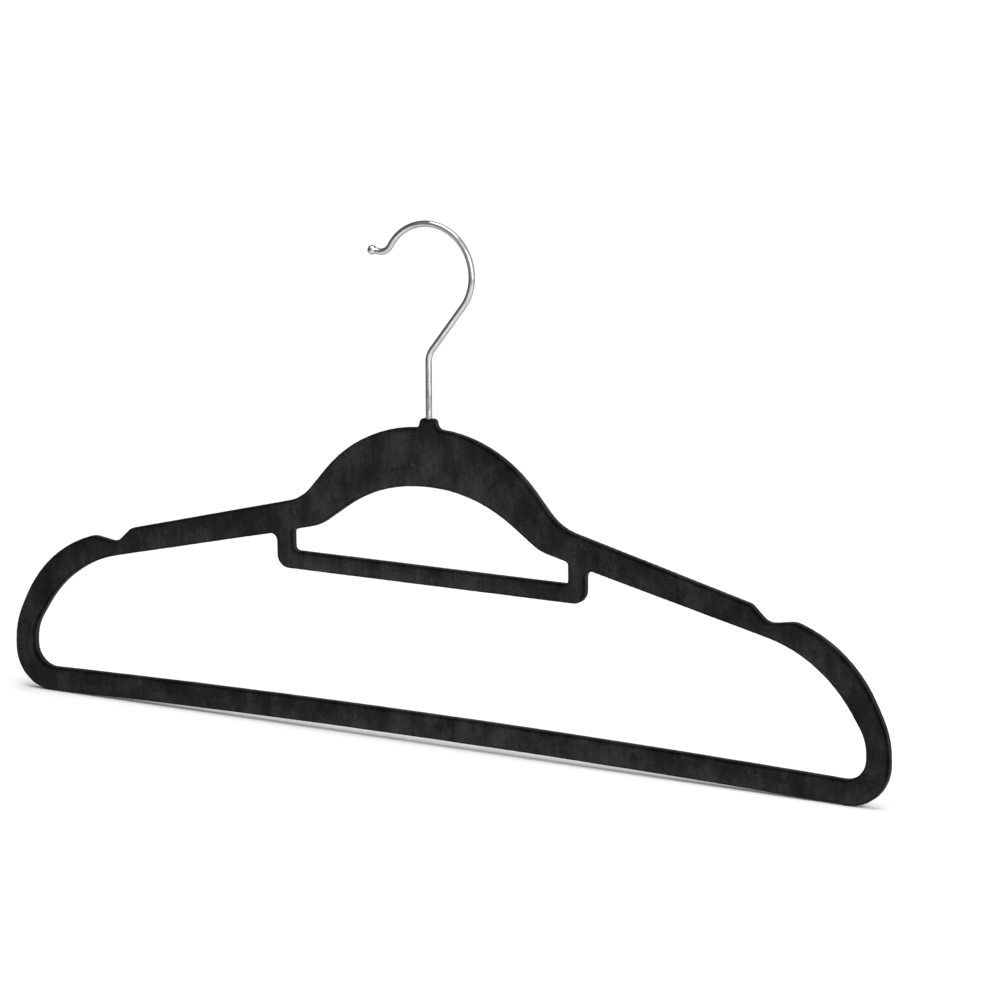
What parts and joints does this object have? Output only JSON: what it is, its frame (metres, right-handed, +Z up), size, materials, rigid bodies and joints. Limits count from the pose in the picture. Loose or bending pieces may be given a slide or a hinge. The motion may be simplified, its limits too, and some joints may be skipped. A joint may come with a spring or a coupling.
{
  "type": "clothes hanger",
  "caption": "Slim flocked clothes hanger with strap notches, arched centre, hanging tie bar, straight trouser bar and a chromed wire hook that swivels in the neck.",
  "frame": {"origin": "rail seat: the lowest point of the inside of the hook's top, on the swivel axis", "axes": "+X along the hanger, to the right of the front face; -Y out of the front face; +Z up"},
  "size_m": [0.445, 0.0052, 0.2339],
  "materials": {
    "core_plastic": "moulded black plastic, seen only at the mouth of the neck",
    "flock": "short dense black flock, brushed",
    "hook_chrome": "bright plated wire with faint drawing lines"
  },
  "bodies": {
    "hook": {"hook": "hook_chrome"},
    "hanger_body": {"body_core": "core_plastic", "flock_coat": "flock"}
  },
  "joints": [
    {"name": "hook_swivel", "type": "hinge", "parent": "hook", "child": "hanger_body", "pos_m": [0, 0, -0.0841], "axis": [0, 0, 1], "continuous": true}
  ]
}
